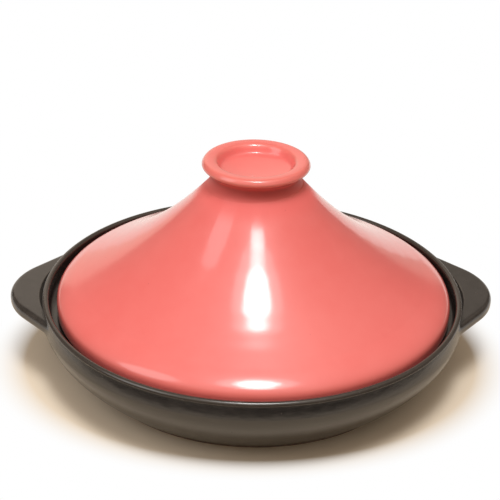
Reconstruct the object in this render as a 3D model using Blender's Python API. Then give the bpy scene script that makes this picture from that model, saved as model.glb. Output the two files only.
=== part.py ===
"""Stoneware tagine: a black dish with two ear lugs, and a conical coral lid with a hollow knob.

Metres, +Z up. The origin is the centre of the foot ring, on the surface that the dish stands on.
The lugs lie along X and the front faces -Y.
"""

import math

import bmesh
import bpy

# Dish
RIM_RADIUS = 0.117
RIM_THICKNESS = 0.005
DISH_HEIGHT = 0.0439
WALL = 0.006
FLOOR = 0.0065
COVE_DEPTH = 0.0012
COVE_DROP = 0.0082
RIDGE_DROP = 0.0109
RIDGE_ROUNDING = 0.0016
RIDGE_TOP = 30
RIDGE_UNDERSIDE = -20
BOWL_TOP_LEAN = math.radians(10)
BOWL_TOP_PULL = 0.011
BOWL_FOOT_SLOPE = math.radians(40)
BOWL_FOOT_PULL = 0.0138
FLOOR_RADIUS = 0.066
FLOOR_PULL = 0.02
SIDE_PULL = 0.018
BEAD_UNDERSIDE = -25

# Ledge inside the rim that carries the lid
LEDGE_DROP = 0.0098
LEDGE_WIDTH = 0.0095
LEDGE_ROUNDING = 0.002

# Foot ring, turned under the dish
FOOT_RADIUS = 0.0915
FOOT_WIDTH = 0.009
FOOT_RECESS = 0.0022
FOOT_ROUNDING = 0.0012

# Lid
LID_CLEARANCE = 0.003
SEAT_GAP = 0.0003
LID_WALL = 0.0055
LID_EDGE_WIDTH = 0.0045
LID_EDGE_RISE = 0.003
LID_EDGE_ROUNDING = 0.0024
LID_INNER_DRAFT = 0.0014
SHOULDER_RADIUS = 0.013
SHOULDER_SLOPE = math.radians(26)
CONE_HEIGHT = 0.0749
CONE_SLOPE = math.radians(49)
CONE_TOP_PULL = 0.033
CONE_FOOT_PULL = 0.036
PEAK_RADIUS = 0.0138
PEAK_DROP = 0.0088

# Knob
NECK_RADIUS = 0.025
KNOB_HEIGHT = 0.0127
KNOB_RADIUS = 0.0294
LIP_WIDTH = 0.0076
LIP_RISE = 0.0028
CUP_DEPTH = 0.0086
CUP_FLOOR_RADIUS = 0.012
CUP_FLOOR_PULL = 0.0069
CUP_SIDE_PULL = 0.0029
NECK_TOP_PULL = 0.005
NECK_FOOT_PULL = 0.0035

# Lugs, which are set a little behind the diameter
LUG_REACH = 0.0183
LUG_THICKNESS = 0.0087
LUG_DROP = 0.0034
LUG_TIP_RADIUS = 0.038
LUG_FLANK = math.radians(40)
LUG_ROUNDING = 0.0038
LUG_SWEEP = math.radians(3.5)

# Where clay pieces are luted together
LUTE_GAP = 0.0003

# Facets of a turned piece, and steps along each curve, corner and small edge of its outline
TURNED_STEPS = 64
CURVE_STEPS = 8
CORNER_STEPS = 4
EDGE_STEPS = 2

LEDGE_Z = DISH_HEIGHT - LEDGE_DROP
SEAT_Z = LEDGE_Z + SEAT_GAP
CONE_TOP_Z = SEAT_Z + CONE_HEIGHT
KNOB_Z = CONE_TOP_Z + LUTE_GAP


def clear_scene():
    for obj in list(bpy.data.objects):
        bpy.data.objects.remove(obj, do_unlink=True)


def glaze(name, colour, roughness, metallic=0.0):
    material = bpy.data.materials.new(name)
    material.use_nodes = True
    shader = material.node_tree.nodes["Principled BSDF"]
    shader.inputs["Base Color"].default_value = (*colour, 1.0)
    shader.inputs["Roughness"].default_value = roughness
    shader.inputs["Metallic"].default_value = metallic
    material.diffuse_color = (*colour, 1.0)
    return material


def arc(centre, radius, start, end, steps, rise=None):
    """Points about centre from one angle to another, in degrees from +r to +z; an ellipse if a rise is given."""
    rise = rise or radius
    angles = [math.radians(start + (end - start) * i / steps) for i in range(steps + 1)]
    return [(centre[0] + radius * math.cos(a), centre[1] + rise * math.sin(a)) for a in angles]


def bezier(start, pull_start, pull_end, end, steps):
    """Points on a cubic curve through start and end, drawn towards the two pulls."""
    points = []
    for i in range(steps + 1):
        t = i / steps
        weights = ((1 - t) ** 3, 3 * (1 - t) ** 2 * t, 3 * (1 - t) * t**2, t**3)
        corners = (start, pull_start, pull_end, end)
        points.append(tuple(sum(w * c[k] for w, c in zip(weights, corners)) for k in (0, 1)))
    return points


def along(point, slope, length):
    """The point that lies length further out and down a fall of the given slope."""
    return point[0] + length * math.cos(slope), point[1] - length * math.sin(slope)


def joined(*runs):
    """Runs of (radius, height) points made one outline, with a shared end point kept once."""
    outline = []
    for run in runs:
        for point in run:
            if not outline or math.dist(point, outline[-1]) > 1e-6:
                outline.append(point)
    return outline


def turned(name, outline, material=None):
    """A piece turned about Z from an outline of (radius, height) that ends down its outer side."""
    mesh = bpy.data.meshes.new(name)
    edges = [(i, i + 1) for i in range(len(outline) - 1)]
    mesh.from_pydata([(r, 0.0, z) for r, z in outline], edges, [])
    obj = bpy.data.objects.new(name, mesh)
    bpy.context.scene.collection.objects.link(obj)
    screw = obj.modifiers.new("Turning", "SCREW")
    screw.axis = "Z"
    screw.angle = 2 * math.pi
    screw.steps = TURNED_STEPS
    screw.render_steps = TURNED_STEPS
    screw.use_merge_vertices = True
    screw.merge_threshold = 0.00001
    screw.use_smooth_shade = True
    if material:
        mesh.materials.append(material)
    return obj


def outer_wall():
    """The dish's outer side: rim bead, cove, ridge and bowl, down to the foot ring's corner."""
    bead = RIM_THICKNESS / 2
    rim_centre = (RIM_RADIUS - bead, DISH_HEIGHT - bead)
    cove = (RIM_RADIUS - COVE_DEPTH, DISH_HEIGHT - COVE_DROP)
    ridge_centre = (RIM_RADIUS - RIDGE_ROUNDING, DISH_HEIGHT - RIDGE_DROP)
    ridge = arc(ridge_centre, RIDGE_ROUNDING, RIDGE_TOP, RIDGE_UNDERSIDE, EDGE_STEPS)
    foot_corner = (FOOT_RADIUS, FOOT_ROUNDING)
    bowl = bezier(
        ridge[-1],
        along(ridge[-1], math.pi / 2 + BOWL_TOP_LEAN, BOWL_TOP_PULL),
        along(foot_corner, -BOWL_FOOT_SLOPE, BOWL_FOOT_PULL),
        foot_corner,
        CURVE_STEPS,
    )
    return joined(arc(rim_centre, bead, 90, BEAD_UNDERSIDE, CORNER_STEPS), [cove], ridge, bowl)


def dish_outline():
    """The dish's section, from the middle of its floor over the rim to the middle of its underside."""
    bead = RIM_THICKNESS / 2
    rim_centre = (RIM_RADIUS - bead, DISH_HEIGHT - bead)
    gallery = RIM_RADIUS - RIM_THICKNESS
    lip = gallery - LEDGE_WIDTH
    lip_round = arc((lip + LEDGE_ROUNDING, LEDGE_Z - LEDGE_ROUNDING), LEDGE_ROUNDING, 180, 90, EDGE_STEPS)
    corner = arc((gallery - LEDGE_ROUNDING, LEDGE_Z + LEDGE_ROUNDING), LEDGE_ROUNDING, -90, 0, EDGE_STEPS)
    inside = bezier(
        (FLOOR_RADIUS, FLOOR),
        (FLOOR_RADIUS + FLOOR_PULL, FLOOR),
        (lip - WALL / 2, LEDGE_Z - SIDE_PULL),
        lip_round[0],
        CURVE_STEPS,
    )
    rim = arc(rim_centre, bead, 180, 90, CORNER_STEPS)
    foot_round = arc((FOOT_RADIUS - FOOT_ROUNDING, FOOT_ROUNDING), FOOT_ROUNDING, 0, -90, EDGE_STEPS)
    foot_inside = FOOT_RADIUS - FOOT_WIDTH
    recess = [(foot_inside, 0.0), (foot_inside - FOOT_RECESS, FOOT_RECESS), (0.0, FOOT_RECESS)]
    return joined([(0.0, FLOOR)], inside, lip_round, corner, rim, outer_wall(), foot_round, recess)


def lid_outline():
    """The lid's section, from the peak of its hollow, round its edge and up its flank to the knob's seat."""
    radius = RIM_RADIUS - RIM_THICKNESS - LID_CLEARANCE
    edge_z = SEAT_Z + LID_EDGE_RISE
    round_centre = (radius - SHOULDER_RADIUS, edge_z)
    shoulder_top = 90 - math.degrees(SHOULDER_SLOPE)
    shoulder = arc(round_centre, SHOULDER_RADIUS, shoulder_top, 0, CORNER_STEPS)
    flank_start = (NECK_RADIUS, CONE_TOP_Z)
    flank = bezier(
        flank_start,
        along(flank_start, CONE_SLOPE, CONE_TOP_PULL),
        along(shoulder[0], SHOULDER_SLOPE, -CONE_FOOT_PULL),
        shoulder[0],
        CURVE_STEPS,
    )
    round_under = (radius - LID_EDGE_ROUNDING, edge_z)
    under_edge = arc(round_under, LID_EDGE_ROUNDING, 0, -90, CORNER_STEPS, LID_EDGE_RISE)
    seat_inside = radius - LID_EDGE_ROUNDING - LID_EDGE_WIDTH
    inner_shoulder = (seat_inside - LID_INNER_DRAFT, edge_z)
    peak = (PEAK_RADIUS, CONE_TOP_Z - PEAK_DROP)
    inner_foot = along(shoulder[0], SHOULDER_SLOPE + math.pi / 2, LID_WALL)
    inner_flank = bezier(
        peak,
        along(peak, CONE_SLOPE, CONE_TOP_PULL),
        along(inner_foot, SHOULDER_SLOPE, -CONE_FOOT_PULL),
        inner_foot,
        CURVE_STEPS,
    )
    hollow = joined([(0.0, CONE_TOP_Z - LID_WALL)], inner_flank, [inner_shoulder], [(seat_inside, SEAT_Z)])
    outside = joined([(0.0, CONE_TOP_Z)], flank, shoulder, under_edge)
    return joined(outside, hollow[::-1])


def knob_outline():
    """The knob's section, from the middle of its cup, over the lip and down the neck to its seat."""
    lip_centre = (KNOB_RADIUS - LIP_WIDTH / 2, KNOB_Z + KNOB_HEIGHT - LIP_RISE)
    floor_z = KNOB_Z + KNOB_HEIGHT - CUP_DEPTH
    lip = arc(lip_centre, LIP_WIDTH / 2, 180, 0, CURVE_STEPS, LIP_RISE)
    cup = bezier(
        (CUP_FLOOR_RADIUS, floor_z),
        (CUP_FLOOR_RADIUS + CUP_FLOOR_PULL, floor_z),
        (lip[0][0], lip[0][1] - CUP_SIDE_PULL),
        lip[0],
        CORNER_STEPS,
    )
    neck = bezier(
        lip[-1],
        (KNOB_RADIUS, lip[-1][1] - NECK_TOP_PULL),
        (NECK_RADIUS, KNOB_Z + NECK_FOOT_PULL),
        (NECK_RADIUS, KNOB_Z),
        CORNER_STEPS,
    )
    return joined([(0.0, floor_z)], cup, lip, neck, [(0.0, KNOB_Z)])


def lug_mesh():
    """An ear in plan: a round tip between two straight flanks, which run on into the dish wall."""
    tip = RIM_RADIUS + LUG_REACH
    centre = tip - LUG_TIP_RADIUS
    flank = math.degrees(LUG_FLANK)
    nose = arc((centre, 0.0), LUG_TIP_RADIUS, -flank, flank, CURVE_STEPS)
    root = FOOT_RADIUS
    run = (nose[-1][0] - root) / math.sin(LUG_FLANK)
    half_root = nose[-1][1] + run * math.cos(LUG_FLANK)
    plan = [(root, -half_root), *nose, (root, half_root)]
    top = DISH_HEIGHT - LUG_DROP
    mesh = bpy.data.meshes.new("lug")
    form = bmesh.new()
    base = [form.verts.new((x, y, top - LUG_THICKNESS)) for x, y in plan]
    face = form.faces.new(base)
    raised = bmesh.ops.extrude_face_region(form, geom=[face])["geom"]
    lifted = [v for v in raised if isinstance(v, bmesh.types.BMVert)]
    bmesh.ops.translate(form, verts=lifted, vec=(0.0, 0.0, LUG_THICKNESS))
    bmesh.ops.recalc_face_normals(form, faces=form.faces)
    form.to_mesh(mesh)
    form.free()
    return mesh


def lug(name, mesh, turn, wall_cutter):
    obj = bpy.data.objects.new(name, mesh)
    bpy.context.scene.collection.objects.link(obj)
    obj.rotation_euler = (0.0, 0.0, turn)
    rounding = obj.modifiers.new("Rounding", "BEVEL")
    rounding.width = LUG_ROUNDING
    rounding.segments = CORNER_STEPS
    rounding.limit_method = "ANGLE"
    rounding.angle_limit = math.radians(40)
    seat = obj.modifiers.new("Seat on the wall", "BOOLEAN")
    seat.operation = "DIFFERENCE"
    seat.solver = "EXACT"
    seat.object = wall_cutter
    return obj


def wall_cutter():
    """The space of the dish, larger by the luting gap, which the lugs are cut to."""
    wall = [(r + LUTE_GAP, z) for r, z in outer_wall()]
    top = DISH_HEIGHT + WALL
    outline = joined([(0.0, top), (wall[0][0], top)], wall, [(wall[-1][0], -WALL), (0.0, -WALL)])
    obj = turned("dish_space", outline)
    obj.hide_render = True
    obj.display_type = "WIRE"
    return obj


clear_scene()
black_glaze = glaze("black_glaze", (0.028, 0.023, 0.020), 0.34)
coral_glaze = glaze("coral_glaze", (0.86, 0.18, 0.15), 0.16)

turned("base_dish", dish_outline(), black_glaze)

cutter = wall_cutter()
ear = lug_mesh()
ear.materials.append(black_glaze)
for polygon in ear.polygons:
    polygon.use_smooth = True
lug("lug_right", ear, LUG_SWEEP, cutter)
lug("lug_left", ear, math.pi - LUG_SWEEP, cutter)

# The lid and its knob lift straight up together, so one empty on the axis carries both
lid = bpy.data.objects.new("lid", None)
bpy.context.scene.collection.objects.link(lid)
for piece in (turned("lid_shell", lid_outline(), coral_glaze), turned("lid_knob", knob_outline(), coral_glaze)):
    piece.parent = lid
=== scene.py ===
"""A low stoneware tagine on a pale table: a black-glazed dish with two ear lugs, and a coral-glazed cone lid."""

import math

import bpy
import numpy as np
from mathutils import Matrix


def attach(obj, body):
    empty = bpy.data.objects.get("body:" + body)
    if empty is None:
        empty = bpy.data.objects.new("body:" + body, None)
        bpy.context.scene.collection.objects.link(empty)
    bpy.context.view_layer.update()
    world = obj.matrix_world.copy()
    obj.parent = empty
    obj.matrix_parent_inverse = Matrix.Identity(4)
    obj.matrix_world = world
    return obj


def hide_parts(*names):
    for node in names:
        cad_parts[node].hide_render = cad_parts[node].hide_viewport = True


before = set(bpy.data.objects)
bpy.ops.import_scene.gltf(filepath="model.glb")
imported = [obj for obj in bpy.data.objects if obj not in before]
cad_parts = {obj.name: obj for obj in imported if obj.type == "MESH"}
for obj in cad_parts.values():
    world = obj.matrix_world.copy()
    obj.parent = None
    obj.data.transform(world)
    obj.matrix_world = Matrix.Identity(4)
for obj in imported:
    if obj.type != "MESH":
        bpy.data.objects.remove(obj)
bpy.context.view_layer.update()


# The dish is thrown on the wheel from dark stoneware: a shallow bowl with a beaded rim, a ledge inside it that
# the lid sits on, and a soft ridge under the rim. The foot ring is turned when the clay is leather hard. Black
# glaze covers everything but the foot ring. It runs thin over sharp edges and pools in the corners.

RIM_BEAD = (114.6, 41.9)
RIM_BEAD_RADIUS = 1.75
BEAD_UNDERSIDE = (115.845, 42.009)
BEAD_UNDERSIDE_RADIUS = 0.5
LEDGE_CORNER = (110.85, 36.1)
LEDGE_CORNER_RADIUS = 2.0
LEDGE_EDGE = (104.5, 32.1)
LEDGE_EDGE_RADIUS = 2.0
DISH_TURNS = 360


def arc(centre, radius, start, end, steps):
    """Points of a circle, centre + radius * (cos a, sin a), for a from start to end degrees in equal steps."""
    a = np.radians(np.linspace(start, end, steps + 1))
    return np.stack([centre[0] + radius * np.cos(a), centre[1] + radius * np.sin(a)], axis=1)


def bend(first, leaving, arriving, last, steps):
    """Points of a cubic curve, (1-t)^3 first + 3(1-t)^2 t leaving + 3(1-t) t^2 arriving + t^3 last."""
    t = np.linspace(0, 1, steps + 1)[:, None]
    first, leaving, arriving, last = (np.array(p, float) for p in (first, leaving, arriving, last))
    return (1 - t) ** 3 * first + 3 * (1 - t) ** 2 * t * leaving + 3 * (1 - t) * t**2 * arriving + t**3 * last


def line(first, last, steps):
    """Points of a straight line, first + t * (last - first), for t from 0 to 1 in equal steps."""
    t = np.linspace(0, 1, steps + 1)[:, None]
    return np.array(first, float) + t * (np.array(last, float) - np.array(first, float))


def strung(*runs):
    """Runs of points end to end, less each point that lies within 1 micrometre of the one before it."""
    points = np.concatenate(runs)
    far = np.linalg.norm(np.diff(points, axis=0), axis=1) > 0.001
    return points[np.concatenate([[True], far])]


SHARPEST = 30.0
SMOOTHING = 2.1


def sharpness(points):
    """How sharply a chain of points turns, in degrees a millimetre, plus where it bulges and minus where it is
    hollow: the turn between the two edges at a point over half their summed length, then smoothed along the chain
    with a bell curve that reaches SMOOTHING millimetres to each side, which is three of its standard deviations."""
    step = np.diff(points, axis=0)
    length = np.linalg.norm(step, axis=1)
    heading = np.unwrap(np.arctan2(step[:, 1], step[:, 0]))
    turn = -np.diff(heading) / ((length[:-1] + length[1:]) / 2)
    turn = np.degrees(np.concatenate([[0], turn, [0]]))
    along = np.concatenate([[0], np.cumsum(length)])
    even = np.linspace(0, along[-1], 4000)
    spread = np.exp(-0.5 * (np.linspace(-3, 3, 2 * int(SMOOTHING / (even[1] - even[0])) + 1)) ** 2)
    soft = np.convolve(np.interp(even, along, turn), spread / spread.sum(), mode="same")
    return np.interp(along, even, soft)


def skin_of(name, points, faces, turn):
    """A mesh from points in millimetres, smooth shaded, with how sharply it turns kept as 'thin' on convex places
    and 'pool' in hollow ones, each from 0 to 1 at SHARPEST degrees a millimetre."""
    mesh = bpy.data.meshes.new(name)
    mesh.from_pydata(np.asarray(points).reshape(-1, 3) * 0.001, [], faces)
    mesh.shade_smooth()
    for kind, amount in (("thin", turn), ("pool_and_painted_shade", -turn)):
        share = np.clip(amount / SHARPEST, 0, 1).astype(np.float32)
        mesh.attributes.new(kind, "FLOAT", "POINT").data.foreach_set("value", share)
    mesh.update()
    made = bpy.data.objects.new(name, mesh)
    bpy.context.scene.collection.objects.link(made)
    return made


def turned(name, outline, turns, wobble=None):
    """A closed pot. The outline (r, z), in millimetres from the axis and above the table, starts and ends on the
    axis and is carried round it, to (r cos a, r sin a, z) for a in equal steps of the turn. wobble(r, z, a) gives
    small offsets of r and z."""
    rows = len(outline) - 2
    r = np.broadcast_to(outline[1:-1, :1], (rows, turns))
    z = np.broadcast_to(outline[1:-1, 1:], (rows, turns))
    a = np.broadcast_to(np.arange(turns) * 2 * np.pi / turns, (rows, turns))
    if wobble is not None:
        dr, dz = wobble(r, z, a)
        r, z = r + dr, z + dz
    ring = np.stack([r * np.cos(a), r * np.sin(a), z], axis=2).reshape(-1, 3)
    points = np.concatenate([ring, [[0, 0, outline[0, 1]], [0, 0, outline[-1, 1]]]])
    near = np.arange(rows * turns).reshape(rows, turns)
    beside = np.roll(near, -1, axis=1)
    quads = np.stack([near[:-1], near[1:], beside[1:], beside[:-1]], axis=2).reshape(-1, 4)
    first = np.stack([np.full(turns, rows * turns), near[0], beside[0]], axis=1)
    last = np.stack([near[-1], np.full(turns, rows * turns + 1), beside[-1]], axis=1)
    turn = sharpness(outline)
    turn = np.concatenate([np.repeat(turn[1:-1], turns), turn[[0, -1]]])
    return skin_of(name, points, quads.tolist() + first.tolist() + last.tolist(), turn)


dish_wall = strung(
    arc(RIM_BEAD, RIM_BEAD_RADIUS, 90, 5, 22),
    arc(BEAD_UNDERSIDE, BEAD_UNDERSIDE_RADIUS, 5, -45, 8),
    line((116.199, 41.655), (115.93, 41.386), 3),
    bend((115.93, 41.386), (115.88, 41.336), (115.87, 41.29), (115.885, 41.22), 4),
    bend((115.885, 41.22), (116.25, 39.4), (116.72, 36.9), (116.88, 34.8), 26),
    bend((116.88, 34.8), (116.95, 34.15), (116.96, 33.8), (116.88, 33.2), 10),
    bend((116.88, 33.2), (115.1, 21.6), (102.07, 10.07), (91.5, 1.2), 48),
)
dish_outline = strung(
    line((0, 6.5), (66, 6.5), 14),
    bend((66, 6.5), (86, 6.5), (102.5, 16), (102.5, 32.1), 44),
    arc(LEDGE_EDGE, LEDGE_EDGE_RADIUS, 180, 90, 10),
    line((104.5, 34.1), (110.85, 34.1), 8),
    arc(LEDGE_CORNER, LEDGE_CORNER_RADIUS, -90, 0, 10),
    line((112.85, 36.1), (112.85, 41.9), 6),
    arc(RIM_BEAD, RIM_BEAD_RADIUS, 180, 90, 20),
    dish_wall,
    bend((91.5, 1.2), (91.3, 0.4), (91.0, 0.0), (90.3, 0.0), 6),
    line((90.3, 0), (83.3, 0), 8),
    bend((83.3, 0), (82.7, 0.0), (82.4, 0.3), (82.2, 0.7), 5),
    line((82.2, 0.7), (80.9, 1.9), 4),
    bend((80.9, 1.9), (80.5, 2.2), (80.1, 2.2), (79.4, 2.2), 5),
    line((79.4, 2.2), (0, 2.2), 8),
)


def thrown(r, z, a):
    """Hand-made unevenness of some hundredths of a millimetre. The wall leans in and out two, three and five times
    round, less so near the table, and is 0.06 mm further in. Faint throwing rings run round the inside, and the
    rim's top dips twice round."""
    inside = np.clip((z - 6.0) / 3, 0, 1) * (r < 103)
    dr = 0.05 * np.sin(2 * a + 0.7) + 0.03 * np.sin(3 * a + 2.1) + 0.02 * np.sin(5 * a + 4.0)
    dr = dr * np.clip(z / 20, 0, 1) - 0.06
    dz = 0.04 * inside * np.sin(r * 1.6 + 0.4 * np.sin(a)) - 0.06 * (z > 43) * (1 + np.sin(2 * a + 1.0)) / 2
    return dr, dz


dish = turned("dish", dish_outline, DISH_TURNS, thrown)


class Wire:
    """An output in a material. + - * / ** and abs() on wires add Math nodes, and + - * take a number on either
    side; node() adds a node of any other type and gives the wire of one of its outputs."""

    def __init__(self, tree, socket=None):
        self.tree = tree
        self.socket = socket

    def node(self, kind, settings=None, out=0, **values):
        """Adds a node of this type. Its settings are set first, then its inputs, named or as in_0, in_1 by place."""
        made = self.tree.nodes.new(kind)
        for key, setting in (settings or {}).items():
            setattr(made, key, setting)
        for key, value in values.items():
            socket = made.inputs[int(key[3:])] if key.startswith("in_") else made.inputs[key.replace("_", " ")]
            if isinstance(value, Wire):
                self.tree.links.new(value.socket, socket)
            else:
                socket.default_value = value
        return Wire(self.tree, made.outputs[out])

    def maths(self, operation, *values):
        return self.node("ShaderNodeMath", {"operation": operation}, **{f"in_{i}": v for i, v in enumerate(values)})

    def __add__(self, other):
        return self.maths("ADD", self, other)

    def __radd__(self, other):
        return self.maths("ADD", other, self)

    def __sub__(self, other):
        return self.maths("SUBTRACT", self, other)

    def __rsub__(self, other):
        return self.maths("SUBTRACT", other, self)

    def __mul__(self, other):
        return self.maths("MULTIPLY", self, other)

    def __rmul__(self, other):
        return self.maths("MULTIPLY", other, self)

    def __truediv__(self, other):
        return self.maths("DIVIDE", self, other)

    def __pow__(self, other):
        return self.maths("POWER", self, other)

    def __abs__(self):
        return self.maths("ABSOLUTE", self)

    def clamped(self):
        return self.node("ShaderNodeClamp", Value=self)

    def between(self, low, high):
        """0 below low, 1 above high, and a smooth step from one to the other."""
        settings = {"interpolation_type": "SMOOTHSTEP"}
        return self.node("ShaderNodeMapRange", settings, in_0=self, in_1=low, in_2=high, in_3=0.0, in_4=1.0)

    def grain(self, scale, detail=3.0, squash=(1, 1, 1), shift=(0, 0, 0)):
        """Soft noise from 0 to 1 on this vector, with scale in features a metre, squashed along the axes."""
        placed = self.node("ShaderNodeMapping", Vector=self, Scale=squash, Location=shift)
        return self.node("ShaderNodeTexNoise", Vector=placed, Scale=scale, Detail=detail, Roughness=0.55)

    def tinted(self, first, second):
        """The first colour where this wire is 0 and the second where it is 1."""
        settings = {"data_type": "RGBA"}
        return self.node("ShaderNodeMix", settings, out=2, in_0=self, in_6=first, in_7=second)


def rgb(red, green, blue):
    """An opaque colour, in linear light."""
    return (red, green, blue, 1.0)


def finish_of(name):
    """A new material: the wire of its Object coordinates, and its Principled shader."""
    material = bpy.data.materials.new(name)
    material.use_nodes = True
    shader = material.node_tree.nodes["Principled BSDF"]
    place = Wire(material.node_tree).node("ShaderNodeTexCoord", out="Object")
    return material, place, shader


def feed(shader, tree, **wires):
    """Links wires, or sets values, on the shader's sockets, with spaces written as _."""
    for key, value in wires.items():
        socket = shader.inputs[key.replace("_", " ")]
        if isinstance(value, Wire):
            tree.links.new(value.socket, socket)
        else:
            socket.default_value = value


BLACK = rgb(0.0165, 0.0132, 0.0112)
BLACK_PALE = rgb(0.027, 0.0225, 0.0200)
BLACK_THIN = rgb(0.060, 0.043, 0.032)
BARE_CLAY = rgb(0.235, 0.155, 0.105)
BARE_CLAY_DARK = rgb(0.15, 0.095, 0.062)
# Where the glaze ends, in metres as in every material: the height of the line, of its thick edge, and its wave.
FOOT_GLAZE_LINE = 0.0011
FOOT_GLAZE_EDGE = 0.0013
FOOT_LINE_WAVE = 0.0013


def black_glaze(name, bare_foot):
    """Satin black glaze, mottled brown and grey, thin and rusty over edges, with fine pinholes and orange peel.
    Below a wavy line just above the table the clay of the foot ring is bare."""
    material, place, shader = finish_of(name)
    tree = material.node_tree
    thin = place.node("ShaderNodeAttribute", {"attribute_name": "thin"}, out="Fac")
    pool_and_painted_shade = place.node("ShaderNodeAttribute", {"attribute_name": "pool_and_painted_shade"}, out="Fac")
    cloud = place.grain(38, 3.0, squash=(1, 1, 2.4))
    mottle = place.grain(210, 4.0, squash=(1, 1, 2.2), shift=(0.3, 0.1, 0.2))
    fine = place.grain(1500, 2.0)
    worn = (thin * 1.25 - 0.18 + (mottle - 0.5) * 0.9).between(0.2, 0.95) * 0.4
    pale = ((cloud - 0.5) * 1.3 + (mottle - 0.5) * 1.1 + 0.5).between(0.2, 0.9)
    colour = worn.tinted(pale.tinted(BLACK, BLACK_PALE), BLACK_THIN)
    pin = place.node("ShaderNodeTexVoronoi", {"feature": "F1"}, Vector=place, Scale=330.0, Randomness=1.0)
    rare = place.grain(120, 1.0, shift=(2, 4, 1)).between(0.6, 0.72)
    pinhole = (1 - pin.between(0.05, 0.13)) * rare
    rough = 0.21 + (mottle - 0.5) * 0.14 + (cloud - 0.5) * 0.10 + worn * 0.10 + pool_and_painted_shade * 0.22 + pinhole * 0.2
    height = (cloud - 0.5) * 0.00022 + (mottle - 0.5) * 0.00005 + (fine - 0.5) * 0.000006 - pinhole * 0.00012
    if bare_foot:
        up = place.node("ShaderNodeSeparateXYZ", Vector=place, out="Z")
        wave = place.grain(45, 2.0, shift=(5, 2, 0))
        bare = 1 - (up - FOOT_GLAZE_LINE + (wave - 0.5) * FOOT_LINE_WAVE).between(-0.0001, 0.00022)
        rim_of_glaze = 1 - abs(up - FOOT_GLAZE_EDGE + (wave - 0.5) * FOOT_LINE_WAVE).between(0.0, 0.0005)
        clay = place.grain(900, 5.0)
        colour = bare.tinted(colour, clay.between(0.3, 0.75).tinted(BARE_CLAY_DARK, BARE_CLAY))
        rough = rough + bare * (0.88 - rough)
        height = height * (1 - bare) + bare * ((clay - 0.5) * 0.00012) + rim_of_glaze * 0.00008
    bump = place.node("ShaderNodeBump", Height=height, Distance=1.0, Strength=1.0)
    feed(shader, tree, Base_Color=colour, Roughness=rough, Normal=bump)
    feed(shader, tree, IOR=1.68, Specular_IOR_Level=0.5)
    return material


dish.data.materials.append(black_glaze("black_glaze_dish", True))
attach(dish, "base")
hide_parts("base_dish")


# The two lugs are ears of clay pressed in a mould and luted to the wall just below the bead, a little behind the
# middle. The joins are wiped smooth with wet fingers, tight along the ear and wide at its two ends, and the black
# glaze runs over them.

LUG_TOP = 40.5
LUG_BOTTOM = 33.0
LUG_REACH = 135.1
LUG_TIP_RADIUS = 38.0
LUG_FLANK = math.radians(40)
LUG_FRONT_FLANK = math.radians(43.5)
LUG_EDGE = 3.0
LUG_SWEEP = math.radians(3.5)
LUG_HEART = (113.7, 34.6)
LUG_FAN = math.radians(32.0)
LUG_SKIN_INSET = 0.015
VALLEY_FOOT = 115.8
VALLEY_DEPTH = 2.4
VALLEY_SLOPE = 0.95
VALLEY_HALF_LENGTH = 27.0
VALLEY_ONLY_ABOVE = 36
JOIN_TIGHT = 0.9
JOIN_WIDER = 1.7


def plate(x, y, z, front):
    """Distance to the ear as a plate: in plan the inside of a tip circle and of its two tangent flanks, in height
    a slab, and both joined by a round edge, |(max(p + e, 0), max(h + e, 0))| + min(max(p + e, h + e), 0) - e.
    The flank on the front side, where y * front > 0, is steeper. A finger has wiped a valley along the rim, which
    lowers the ear's top by min(max(deep - slope * (distance from the axis - foot), 0), deep), where deep is
    depth * max(1.15 - (y / half length)^2, 0)."""
    slant = np.where(y * front > 0, LUG_FRONT_FLANK, LUG_FLANK)
    deep = VALLEY_DEPTH * np.clip(1.15 - (y / VALLEY_HALF_LENGTH) ** 2, 0, 2)
    z = z + np.clip(deep - VALLEY_SLOPE * (np.hypot(x, y) - VALLEY_FOOT), 0, deep) * (z > VALLEY_ONLY_ABOVE)
    centre = LUG_REACH - LUG_TIP_RADIUS
    y = np.abs(y)
    circle = np.hypot(x - centre, y) - LUG_TIP_RADIUS
    flank = (x - centre) * np.cos(slant) + y * np.sin(slant) - LUG_TIP_RADIUS
    beyond = y * np.cos(slant) - (x - centre) * np.sin(slant) > 0
    plan = np.where(beyond, flank, circle) + LUG_EDGE
    slab = np.abs(z - (LUG_TOP + LUG_BOTTOM) / 2) - (LUG_TOP - LUG_BOTTOM) / 2 + LUG_EDGE
    return np.hypot(np.maximum(plan, 0), np.maximum(slab, 0)) + np.minimum(np.maximum(plan, slab), 0) - LUG_EDGE


def wall(r, z, a):
    """Distance to the dish's uneven outer wall, (r - wall radius at z) * cosine of the wall's lean, plus an inset
    so that away from the ear this skin runs just inside the dish's own."""
    up = dish_wall[::-1]
    lean = np.cos(np.arctan(np.gradient(up[:, 0], up[:, 1])))
    return (r - thrown(r, z, a)[0] - np.interp(z, up[:, 1], up[:, 0])) * np.interp(z, up[:, 1], lean) + LUG_SKIN_INSET


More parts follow.
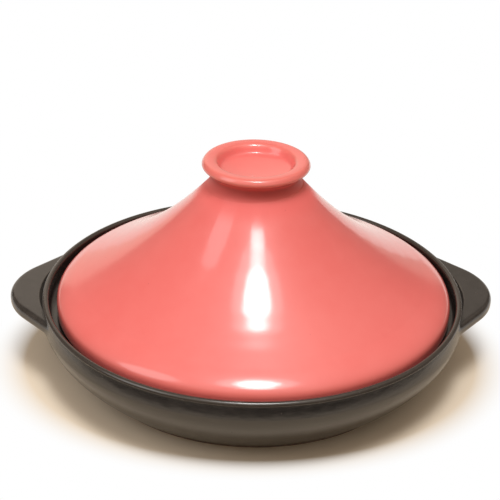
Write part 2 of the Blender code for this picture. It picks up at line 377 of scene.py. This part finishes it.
def ear(name, side, rows=132, columns=150):
    """One lug. From a line inside the wall rays go out at rows angles in each of columns upright planes, and each
    stops where the smooth union of wall and plate is zero: min(w, p) - k/6 * max(1 - |w - p| / k, 0)^3, where k
    is the width of the wiped join. Halving the span 26 times finds the place."""
    a = side * LUG_SWEEP + (math.pi if side < 0 else 0)
    t = np.linspace(-1, 1, columns)
    across = LUG_FAN * (0.75 * t + 0.25 * t**3)
    s = np.linspace(0, 1, rows)
    up = np.radians(np.interp(s, [0, 0.1, 0.3, 0.44, 0.76, 0.9, 1], [72, 62, 44, 20, -8, -50, -76]))
    across, up = np.meshgrid(across, up)
    join = JOIN_TIGHT + JOIN_WIDER * np.clip((np.abs(np.degrees(across)) - 12) / 13, 0, 1) ** 2

    def place(reach):
        r = LUG_HEART[0] + reach * np.cos(up)
        return r * np.cos(across), r * np.sin(across), LUG_HEART[1] + reach * np.sin(up), r

    low, high = np.zeros_like(up), np.full_like(up, 30.0)
    for _ in range(26):
        middle = (low + high) / 2
        x, y, z, r = place(middle)
        w, p = wall(r, z, across + a), plate(x, y, z, -side)
        inside = np.minimum(w, p) - join / 6 * np.maximum(1 - np.abs(w - p) / join, 0) ** 3 < 0
        low, high = np.where(inside, middle, low), np.where(inside, high, middle)
    x, y, z, r = place((low + high) / 2)
    turn = np.stack([sharpness(np.stack([r[:, i], z[:, i]], axis=1)) for i in range(columns)], axis=1)
    skin = np.stack([x, y, z], axis=2).reshape(-1, 3)
    heart = np.stack([LUG_HEART[0] * np.cos(across[0]), LUG_HEART[0] * np.sin(across[0])], axis=1)
    heart = np.column_stack([heart, np.full(columns, LUG_HEART[1])])
    spin = np.array([[math.cos(a), -math.sin(a), 0], [math.sin(a), math.cos(a), 0], [0, 0, 1]])
    points = np.concatenate([skin, heart]) @ spin.T
    grid = np.concatenate([np.arange(rows * columns).reshape(rows, columns), rows * columns + np.arange(columns)[None]])
    grid = np.concatenate([grid, grid[:1]])
    quads = np.stack([grid[:-1, :-1], grid[1:, :-1], grid[1:, 1:], grid[:-1, 1:]], axis=2).reshape(-1, 4)
    ends = [grid[:-1, 0][::-1].tolist(), grid[:-1, -1].tolist()]
    caps = [[chain[i], chain[i + 1], hub] for chain, hub in ((ends[0], grid[-2, 0]), (ends[1], grid[-2, -1]))
            for i in range(len(chain) - 1) if hub not in (chain[i], chain[i + 1])]
    return skin_of(name, points, quads.tolist() + [[int(v) for v in c] for c in caps],
                   np.concatenate([turn.ravel(), np.zeros(columns)]))


black_lug = black_glaze("black_glaze_lug", False)
for name, side in (("lug_skin_right", 1), ("lug_skin_left", -1)):
    lug = ear(name, side)
    lug.data.materials.append(black_lug)
    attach(lug, "base")
    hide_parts("lug_right" if side > 0 else "lug_left")


# The lid is thrown as a wide cone with a rounded shoulder. Its foot stands on the dish's ledge, inside the bead
# with 3 mm to spare, and hides the ledge's inner part. Coral glaze covers it inside and out, and is wiped off the
# narrow ring that it stands on, so that the two pots don't fuse in the kiln.

LID_AT = 0.6
LID_TURNS = 360

lid_outline = strung(
    line((0, 109.3), (25, 109.3), 16),
    bend((25, 109.3), (44.87, 86.44), (64.49, 69.08), (93.61, 53.30), 84),
    line((93.61, 53.30), (98.27, 50.83), 4),
    bend((98.27, 50.83), (108.93, 45.31), (109, 43.36), (109, 39.74), 60),
    line((109, 39.74), (109, 37.4), 3),
    bend((109, 37.4), (109, 35.7), (108.0, 34.4), (106.6, 34.4), 10),
    line((106.6, 34.4), (102.1, 34.4), 6),
    bend((102.1, 34.4), (101.3, 34.4), (100.8, 35.6), (100.6, 37.6), 8),
    bend((100.6, 37.6), (100.3, 41.5), (101.0, 43.3), (97.4, 45.1), 14),
    bend((97.4, 45.1), (60, 63.5), (38, 77), (13.8, 100.5), 60),
    bend((13.8, 100.5), (11.2, 103), (6, 103.8), (0, 103.8), 12),
)


def thrown_lid(r, z, a):
    """The lid's unevenness: it leans out three times round by 0.015 mm, and towards its foot also twice round by
    0.07 mm, and soft rings 9 mm apart run down the cone."""
    down = np.clip((r - 30) / 12, 0, 1) * np.clip((104 - r) / 6, 0, 1)
    dr = 0.07 * np.sin(2 * a + 2.0) * np.clip((110 - z) / 60, 0, 1) + 0.015 * np.sin(3 * a + 0.5)
    dz = 0.018 * down * np.sin(r * 0.7 + 0.5 * np.sin(a + 1))
    return dr, dz


lid = turned("lid", lid_outline, LID_TURNS, thrown_lid)

CORAL = rgb(0.87, 0.153, 0.139)
CORAL_PALE = rgb(0.89, 0.179, 0.162)
CORAL_DEEP = rgb(0.40, 0.033, 0.030)
CORAL_THIN = rgb(0.76, 0.20, 0.145)
LID_CLAY = rgb(0.62, 0.50, 0.38)
LID_CLAY_DARK = rgb(0.48, 0.36, 0.26)
# Where the glaze ends, and where the fold under the knob's lip begins and ends, in metres.
LID_GLAZE_LINE = 0.0353
LID_LINE_WAVE = 0.0008
FOLD_FROM = (0.097, 0.106)
FOLD_UP_TO = (0.114, 0.118)
FOLD_OUTSIDE = (0.0215, 0.0225)


def coral_glaze(name, bare_seat, gloss):
    """Glossy coral glaze, slightly cloudy, deeper where it pools and browner where it thins, with a soft ripple
    and a few specks, and dull in the fold under the knob's lip. On the knob the deeper colour under the lip is
    painted shade. The ring that the lid stands on is bare buff clay. gloss is the roughness of the clear top layer
    of the glaze."""
    material, place, shader = finish_of(name)
    tree = material.node_tree
    thin = place.node("ShaderNodeAttribute", {"attribute_name": "thin"}, out="Fac")
    pool_and_painted_shade = place.node("ShaderNodeAttribute", {"attribute_name": "pool_and_painted_shade"}, out="Fac")
    cloud = place.grain(16, 3.0)
    mottle = place.grain(130, 3.0, shift=(1, 3, 2))
    fine = place.grain(700, 2.0)
    tone = ((cloud - 0.5) * 1.2 + (mottle - 0.5) * 0.5 + 0.5).between(0.15, 0.85)
    colour = (thin * 0.55).tinted(tone.tinted(CORAL, CORAL_PALE), CORAL_THIN)
    # Deeper coral where the glaze pools; on the knob the same values are painted shade under the lip.
    colour = (pool_and_painted_shade * 1.9).clamped().tinted(colour, CORAL_DEEP)
    speck = place.node("ShaderNodeTexVoronoi", {"feature": "F1"}, Vector=place, Scale=240.0)
    rare = place.grain(95, 1.0, shift=(7, 1, 5)).between(0.62, 0.7)
    dot = (1 - speck.between(0.03, 0.08)) * rare
    colour = (dot * 0.45).tinted(colour, CORAL_DEEP)
    rough = 0.42 + (mottle - 0.5) * 0.10 + (cloud - 0.5) * 0.06 + dot * 0.1
    height = (cloud - 0.5) * 0.0005 + (mottle - 0.5) * 0.000018 + (fine - 0.5) * 0.0000025 + dot * 0.00003
    up = place.node("ShaderNodeSeparateXYZ", Vector=place, out="Z")
    flat = place.node("ShaderNodeVectorMath", {"operation": "MULTIPLY"}, out="Vector", in_0=place, in_1=(1.0, 1.0, 0.0))
    from_axis = flat.node("ShaderNodeVectorMath", {"operation": "LENGTH"}, out="Value", in_0=flat)
    fold = up.between(*FOLD_FROM) * (1 - up.between(*FOLD_UP_TO)) * from_axis.between(*FOLD_OUTSIDE)
    rough = rough + fold * 0.3
    coat = 1 - fold * 0.9
    if bare_seat:
        wave = place.grain(40, 2.0, shift=(3, 8, 0))
        bare = 1 - (up - LID_GLAZE_LINE + (wave - 0.5) * LID_LINE_WAVE).between(-0.0001, 0.00015)
        clay = place.grain(1100, 5.0)
        colour = bare.tinted(colour, clay.between(0.3, 0.7).tinted(LID_CLAY_DARK, LID_CLAY))
        rough = rough + bare * (0.85 - rough)
        height = height * (1 - bare) + bare * ((clay - 0.5) * 0.0001)
        coat = coat * (1 - bare)
    bump = place.node("ShaderNodeBump", Height=height, Distance=1.0, Strength=1.0)
    feed(shader, tree, Base_Color=colour, Roughness=rough, Coat_Weight=coat, Normal=bump)
    feed(shader, tree, IOR=1.5, Specular_IOR_Level=0.5, Coat_Roughness=gloss, Coat_IOR=1.5)
    return material


def slid(piece, x):
    """Moves a piece's points x millimetres to the right, in its mesh."""
    points = np.array([v.co for v in piece.data.vertices])
    piece.data.vertices.foreach_set("co", (points + [x * 0.001, 0, 0]).ravel())


lid.data.materials.append(coral_glaze("coral_glaze_lid", True, 0.11))
slid(lid, LID_AT)
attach(lid, "lid")
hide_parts("lid_shell")


# The knob is a small flared cup, thrown off the hump and luted to the top of the cone. It is the handle, and the
# stand when the lid is turned over as a dish. Shade under the lip is painted in, as a deeper coral there.

KNOB_AT = 0.2
KNOB_TURNS = 240
# Painted shade under the lip: how deeply it tints the coral, the heights in mm where it rises and fades, and the radius
# in mm inside which it stops.
UNDER_LIP_PAINTED_SHADE = 0.29
UNDER_LIP_SHADE_HEIGHTS = (108.5, 113.5, 114.3, 117.8)
UNDER_LIP_SHADE_RADIUS = 22

knob_outline = strung(
    bend((0, 115.7), (5, 115.7), (10, 116.1), (14.8, 116.7), 24),
    bend((14.8, 116.7), (17.0, 116.98), (18.5, 117.0), (19.3, 118.3), 18),
    bend((19.3, 118.3), (20.3, 119.9), (20.8, 121.7), (22.7, 122.0), 20),
    bend((22.7, 122.0), (24.0, 122.22), (25.2, 122.3), (26.1, 122.3), 10),
    bend((26.1, 122.3), (27.3, 122.3), (28.0, 121.75), (28.45, 121.05), 14),
    bend((28.45, 121.05), (28.8, 120.5), (29.1, 120.1), (29.1, 119.5), 10),
    bend((29.1, 119.5), (29.1, 118.3), (27.0, 117.5), (25.7, 116.2), 20),
    bend((25.7, 116.2), (24.65, 115.15), (24.3, 114.3), (24.3, 113.2), 12),
    bend((24.3, 113.2), (24.3, 110.7), (25.6, 108.2), (27.8, 105.5), 18),
    line((27.8, 105.5), (25.5, 105.0), 3),
    line((25.5, 105.0), (0, 105.0), 8),
)
knob = turned("knob", knob_outline, KNOB_TURNS)
# Painted shade: the knob's own hollow values are replaced by a band from the neck up under the lip, outside the cup,
# which the coral glaze turns into a deeper colour.
spot = np.array([v.co for v in knob.data.vertices]) * 1000
painted_shade_under_lip = np.interp(spot[:, 2], UNDER_LIP_SHADE_HEIGHTS, (0, 1, 1, 0))
painted_shade_under_lip = painted_shade_under_lip * (np.hypot(spot[:, 0], spot[:, 1]) > UNDER_LIP_SHADE_RADIUS)
knob.data.attributes["pool_and_painted_shade"].data.foreach_set("value", (UNDER_LIP_PAINTED_SHADE * painted_shade_under_lip).astype(np.float32))
knob.data.materials.append(coral_glaze("coral_glaze_knob", False, 0.14))
slid(knob, KNOB_AT)
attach(knob, "lid")
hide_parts("lid_knob")


# The table is a wide matt sheet, warm near the object, where its shadow falls. Further out the camera and
# reflections see it white. Towards the camera it is dark from about 0.2 m on for all but the camera's own view.

TABLE_HALF = 6.0

floor_mesh = bpy.data.meshes.new("table")
corners = [(-TABLE_HALF, -TABLE_HALF, 0), (TABLE_HALF, -TABLE_HALF, 0), (TABLE_HALF, TABLE_HALF, 0),
           (-TABLE_HALF, TABLE_HALF, 0)]
floor_mesh.from_pydata(corners, [], [(0, 1, 2, 3)])
table = bpy.data.objects.new("table", floor_mesh)
bpy.context.scene.collection.objects.link(table)

sheet = bpy.data.materials.new("white_sheet")
sheet.use_nodes = True
sheet.node_tree.nodes.clear()
here = Wire(sheet.node_tree).node("ShaderNodeTexCoord", out="Object")
away = here.node("ShaderNodeVectorMath", {"operation": "LENGTH"}, out="Value", in_0=here)
path = here.node("ShaderNodeLightPath", out="Is Camera Ray")
mirrored = here.node("ShaderNodeLightPath", out="Is Glossy Ray")
through = here.node("ShaderNodeLightPath", out="Is Transmission Ray")
matt = here.node("ShaderNodeBsdfDiffuse", Color=rgb(0.86, 0.74, 0.59))
bright = here.node("ShaderNodeEmission", Color=path.tinted(rgb(1, 0.94, 0.88), rgb(1, 1, 1)), Strength=1.0)
near_camera = 0 - here.node("ShaderNodeSeparateXYZ", Vector=here, out="Y")
beside = abs(here.node("ShaderNodeSeparateXYZ", Vector=here, out="X"))
ahead_of = near_camera.between(0.17, 0.30) * (1 - beside.between(0.12, 0.28))
far_off = away.between(0.30, 0.43) * near_camera.between(-0.15, 0.05)
low_front = mirrored * away.between(0.19, 0.24) * near_camera.between(0.02, 0.08)
unlit = (1 - path) * (ahead_of + far_off + low_front).clamped()
oval = here.node("ShaderNodeVectorMath", {"operation": "MULTIPLY"}, out="Vector", in_0=here, in_1=(1.0, 1.25, 1.0))
oval = oval.node("ShaderNodeVectorMath", {"operation": "LENGTH"}, out="Value", in_0=oval)
white_from = path * oval.between(0.1275, 0.151) ** 0.5 + (mirrored + through) * away.between(0.16, 0.24)
shown = here.node("ShaderNodeMixShader", in_0=white_from.clamped() * (1 - unlit), in_1=matt, in_2=bright)
shown = here.node("ShaderNodeMixShader", in_0=unlit, in_1=shown, in_2=here.node("ShaderNodeEmission", Strength=0.08))
sheet.node_tree.links.new(shown.socket, sheet.node_tree.nodes.new("ShaderNodeOutputMaterial").inputs["Surface"])
floor_mesh.materials.append(sheet)


# The room is dim and warm. Behind the object a white screen stands on the table, brighter on the left. In front
# the room is dark low down, with a pale band higher up, and it is paler high on the right and overhead too. The
# camera itself sees white all round.

studio = bpy.data.worlds.new("studio")
bpy.context.scene.world = studio
studio.use_nodes = True
studio.node_tree.nodes.clear()
look = Wire(studio.node_tree).node("ShaderNodeTexCoord", out="Generated")
east = look.node("ShaderNodeSeparateXYZ", Vector=look, out="X")
north = look.node("ShaderNodeSeparateXYZ", Vector=look, out="Y")
up = look.node("ShaderNodeSeparateXYZ", Vector=look, out="Z")
flat = (east * east + north * north + 0.0001) ** 0.5
sideways = east / flat
behind = north / flat
screen = behind.between(0.845, 0.885) * (1 - up.between(0.62, 0.72))
gap_beside = behind.between(0.66, 0.84)
front = (0 - behind).between(0.55, 0.85) * (1 - up.between(0.02, 0.16))
room = 0.27 - 0.05 * sideways.between(-0.6, 0.6) + 0.2 * up.between(0.6, 0.95)
room = room + 0.22 * sideways.between(0.2, 0.8) * up.between(0.25, 0.6) * behind.between(-0.5, 0.1)
room = room + 0.4 * (0 - behind).between(0.3, 0.8) * up.between(0.45, 0.65) * (1 - up.between(0.75, 0.9))
room = room * (1 - 0.5 * gap_beside) * (1 - 0.75 * front)
spill = (0.93 * up - 0.36 * north + 0.03 * east).between(0.42, 1.0)
room = room + 0.25 * spill * spill
room = room * (1 - screen) + screen * (0.86 - 0.36 * sideways.between(-0.05, 0.2))
path = look.node("ShaderNodeLightPath", out="Is Camera Ray")
shade = look.node("ShaderNodeBackground", Color=rgb(1.0, 0.86, 0.72), Strength=room)
white = look.node("ShaderNodeBackground", Color=rgb(1, 1, 1), Strength=1.0)
shown = look.node("ShaderNodeMixShader", in_0=path, in_1=shade, in_2=white)
studio.node_tree.links.new(shown.socket, studio.node_tree.nodes.new("ShaderNodeOutputWorld").inputs["Surface"])


# The light is a soft box that leans over the object from the front, built up from four ovals: the bright box
# itself, a dimmer one below it, a narrow brighter one at its lower edge, and a wide dim one behind them. A large
# soft panel stands on the left.


def soft_box(name, azimuth, elevation, distance, width, height, radiance):
    """A flat oval lamp that faces the object from an azimuth, 0 in front and 90 on the right, and an elevation,
    both in degrees. Its power is radiance * pi * area."""
    lamp = bpy.data.objects.new(name, bpy.data.lights.new(name, "AREA"))
    lamp.data.shape = "ELLIPSE"
    lamp.data.size, lamp.data.size_y = width, height
    lamp.data.energy = radiance * math.pi * (math.pi * width * height / 4)
    a, e = math.radians(azimuth), math.radians(elevation)
    level = distance * math.cos(e)
    lamp.location = (level * math.sin(a), -level * math.cos(a), distance * math.sin(e))
    lamp.rotation_euler = (math.pi / 2 - e, 0, a)
    bpy.context.scene.collection.objects.link(lamp)


soft_box("front_box", 4.5, 73.9, 1.30, 0.34, 0.32, 20.0)
soft_box("front_bridge", 3.6, 66.0, 1.30, 0.28, 0.16, 6.0)
soft_box("front_low_box", 3.2, 63.0, 1.31, 0.34, 0.09, 12.0)
soft_box("front_skirt", 4.0, 72.8, 1.32, 0.66, 0.52, 2.6)
soft_box("left_panel", -69, 41, 1.30, 0.60, 0.85, 2.4)


# The camera looks down at the object from the front, far enough away for a flat, long-lens view.

CAMERA_BACK = 0.700
CAMERA_HEIGHT = 0.43023
CAMERA_LENS = 103.183

camera = bpy.data.objects.new("camera", bpy.data.cameras.new("camera"))
bpy.context.scene.collection.objects.link(camera)
bpy.context.scene.camera = camera
camera.data.sensor_width = 36
camera.data.lens = CAMERA_LENS
pan, tilt, roll, orbit = -0.0028, 0.4779, 0.0244, math.radians(-2.55)
ahead = np.array([math.sin(pan) * math.cos(tilt), math.cos(pan) * math.cos(tilt), -math.sin(tilt)])
level = np.array([math.cos(pan), -math.sin(pan), 0])
over = np.cross(level, ahead)
right = math.cos(roll) * level + math.sin(roll) * over
above = math.cos(roll) * over - math.sin(roll) * level
spin = np.array([[math.cos(orbit), -math.sin(orbit), 0], [math.sin(orbit), math.cos(orbit), 0], [0, 0, 1]])
stand = np.eye(4)
stand[:3, :3] = spin @ np.stack([right, above, -ahead], axis=1)
stand[:3, 3] = spin @ np.array([0, -CAMERA_BACK, CAMERA_HEIGHT])
camera.matrix_world = Matrix(stand.tolist())

bpy.context.scene.view_settings.view_transform = "Standard"
